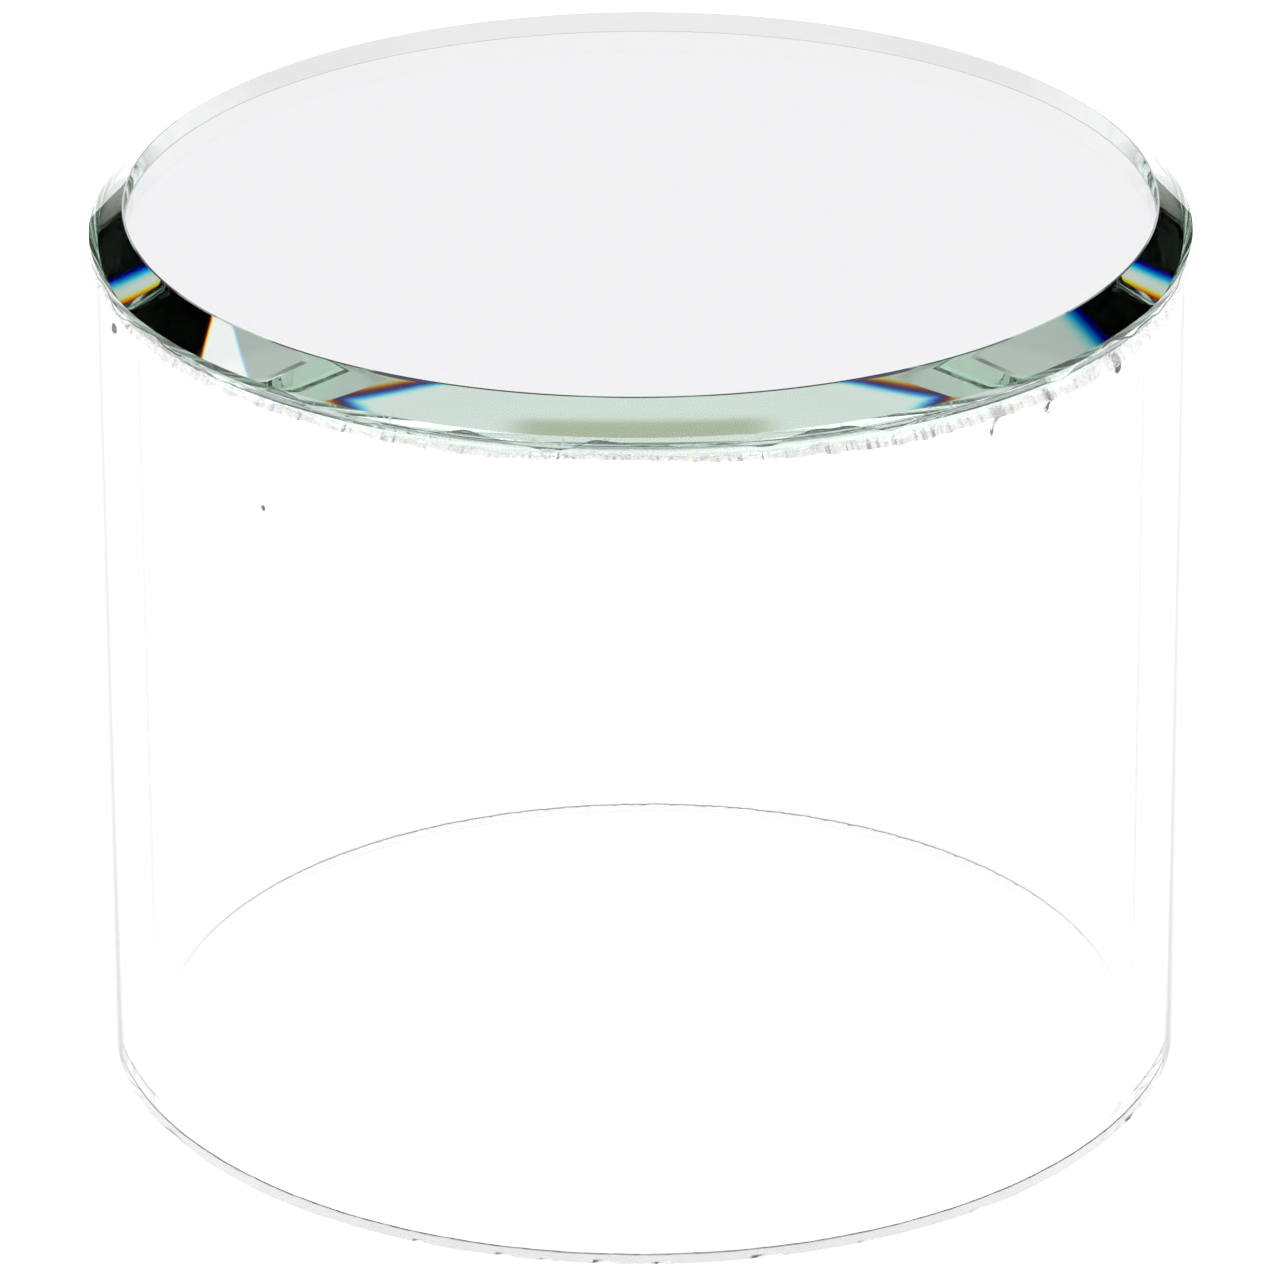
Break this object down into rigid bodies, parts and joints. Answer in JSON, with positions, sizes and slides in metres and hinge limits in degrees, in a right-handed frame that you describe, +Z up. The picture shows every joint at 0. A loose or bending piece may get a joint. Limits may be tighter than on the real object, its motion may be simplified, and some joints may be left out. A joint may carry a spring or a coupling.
{
  "type": "round display riser",
  "caption": "Round display riser: a clear acrylic tube, open underneath, with a bevelled round mirror bonded on top as the display surface.",
  "frame": {"origin": "centre of the tube's bottom end, on the surface that the riser stands on", "axes": "+Z up along the tube's axis; +X to the right and -Y towards the viewer who faces the heavier squeeze-out on the right"},
  "size_m": [0.1008, 0.1008, 0.0838],
  "materials": {
    "clear_acrylic": "clear, polished by extrusion, saw-cut ends",
    "clear_glass": "clear float glass with a faint green tint, polished bevel",
    "silver": "bright",
    "backing_paint": "matt",
    "clear_adhesive": "clear, with trapped bubbles"
  },
  "bodies": {
    "root": {"acrylic_tube": "clear_acrylic", "mirror_glass": "clear_glass", "silver_layer": "silver", "backing_paint": "backing_paint", "adhesive_bond": "clear_adhesive", "adhesive_outer_bead": "clear_adhesive", "adhesive_inner_bead": "clear_adhesive", "adhesive_drips": "clear_adhesive"}
  },
  "joints": []
}
